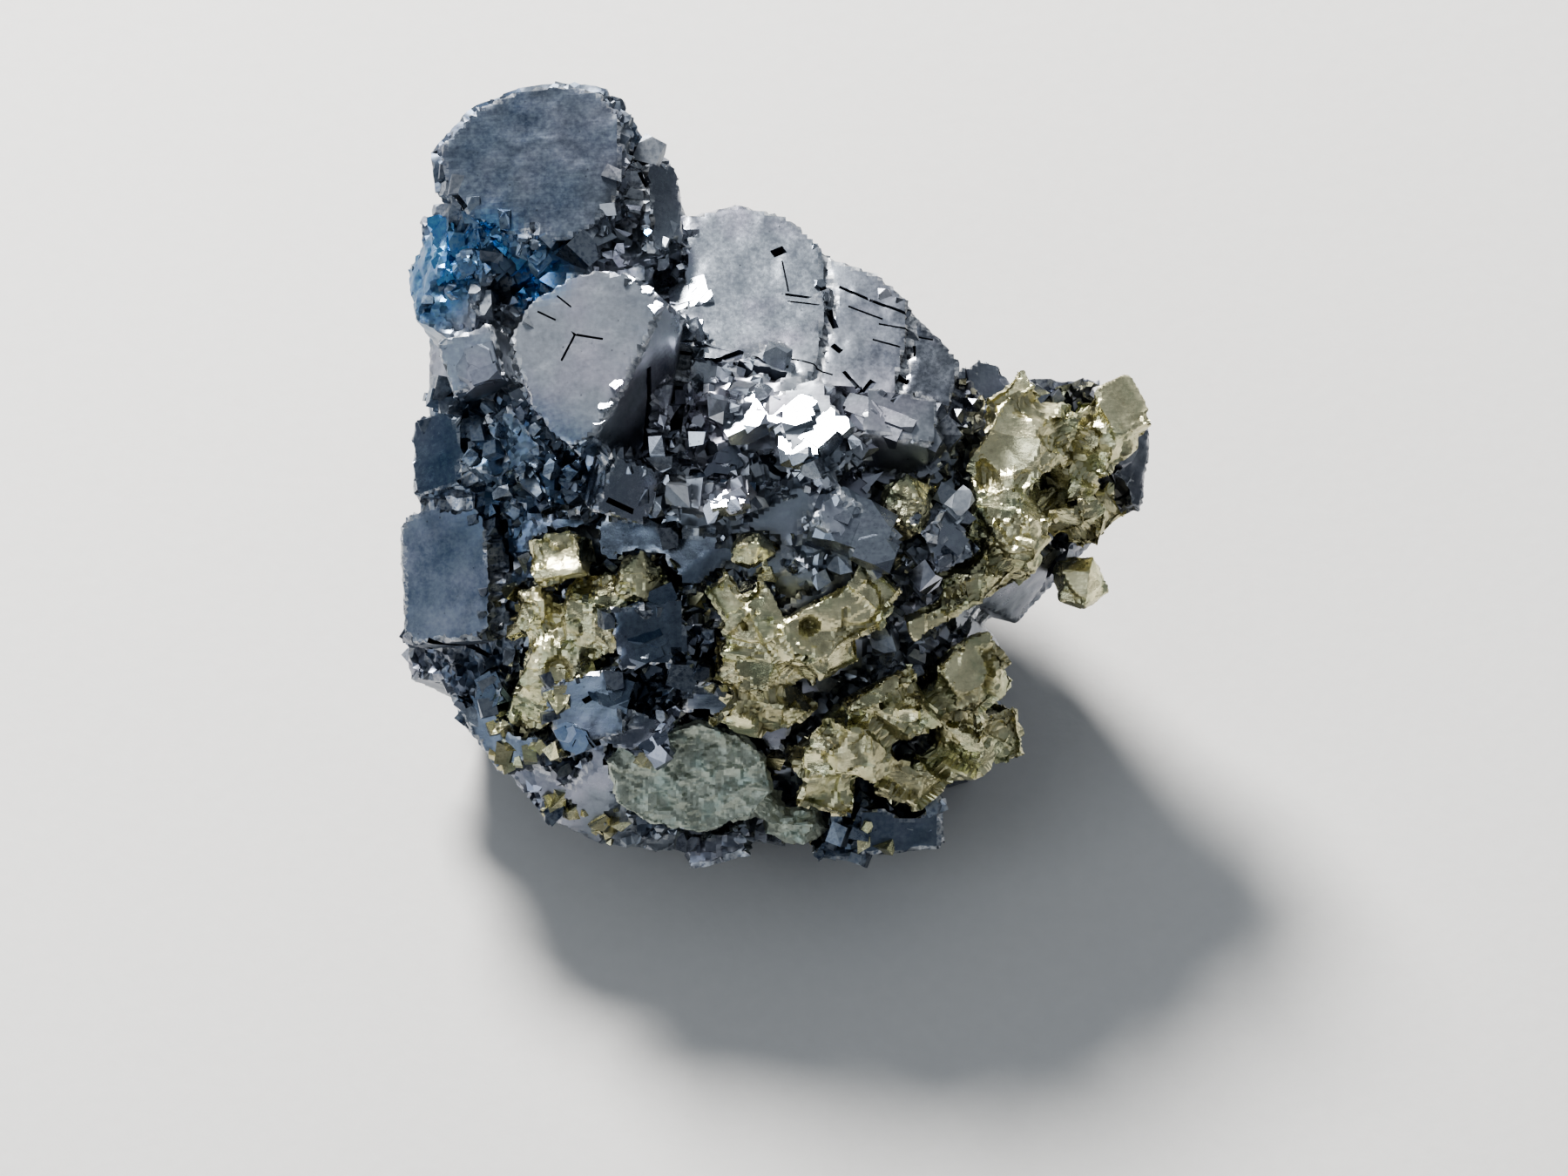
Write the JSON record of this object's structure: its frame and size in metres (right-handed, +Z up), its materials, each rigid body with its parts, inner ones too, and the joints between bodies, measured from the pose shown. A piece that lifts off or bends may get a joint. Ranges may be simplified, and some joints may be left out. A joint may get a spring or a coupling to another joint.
{
  "type": "galena with pyrite mineral specimen",
  "caption": "Hand specimen of blue-grey galena crystals grown together, with brassy pyrite in pockets and a flat foot to rest on.",
  "frame": {"origin": "middle of the bounding box's underside, on the flat foot", "axes": "+Z up, +X to the right across the longest width, -Y towards the side that the display face leans back from"},
  "size_m": [0.041, 0.0382, 0.0315],
  "materials": {
    "galena": "metallic blue-grey, bright on fresh cleavage and matt on weathered crystal faces, with a blue tarnish in places",
    "pyrite": "pale brassy metal, rippled and uneven where broken, with small bright facets",
    "dull_pyrite": "dull grey-green, finely granular"
  },
  "bodies": {
    "root": {"galena": "galena", "pyrite_ridge": "pyrite", "pyrite_lower_right": "pyrite", "pyrite_middle": "pyrite", "pyrite_left": "pyrite", "pyrite_dull_face": "dull_pyrite", "pyrite_left_knob": "pyrite", "pyrite_round_grain": "pyrite", "pyrite_upper_grain": "pyrite", "pyrite_right_knob": "pyrite", "pyrite_back": "pyrite", "pyrite_back_upper": "pyrite"}
  },
  "joints": []
}
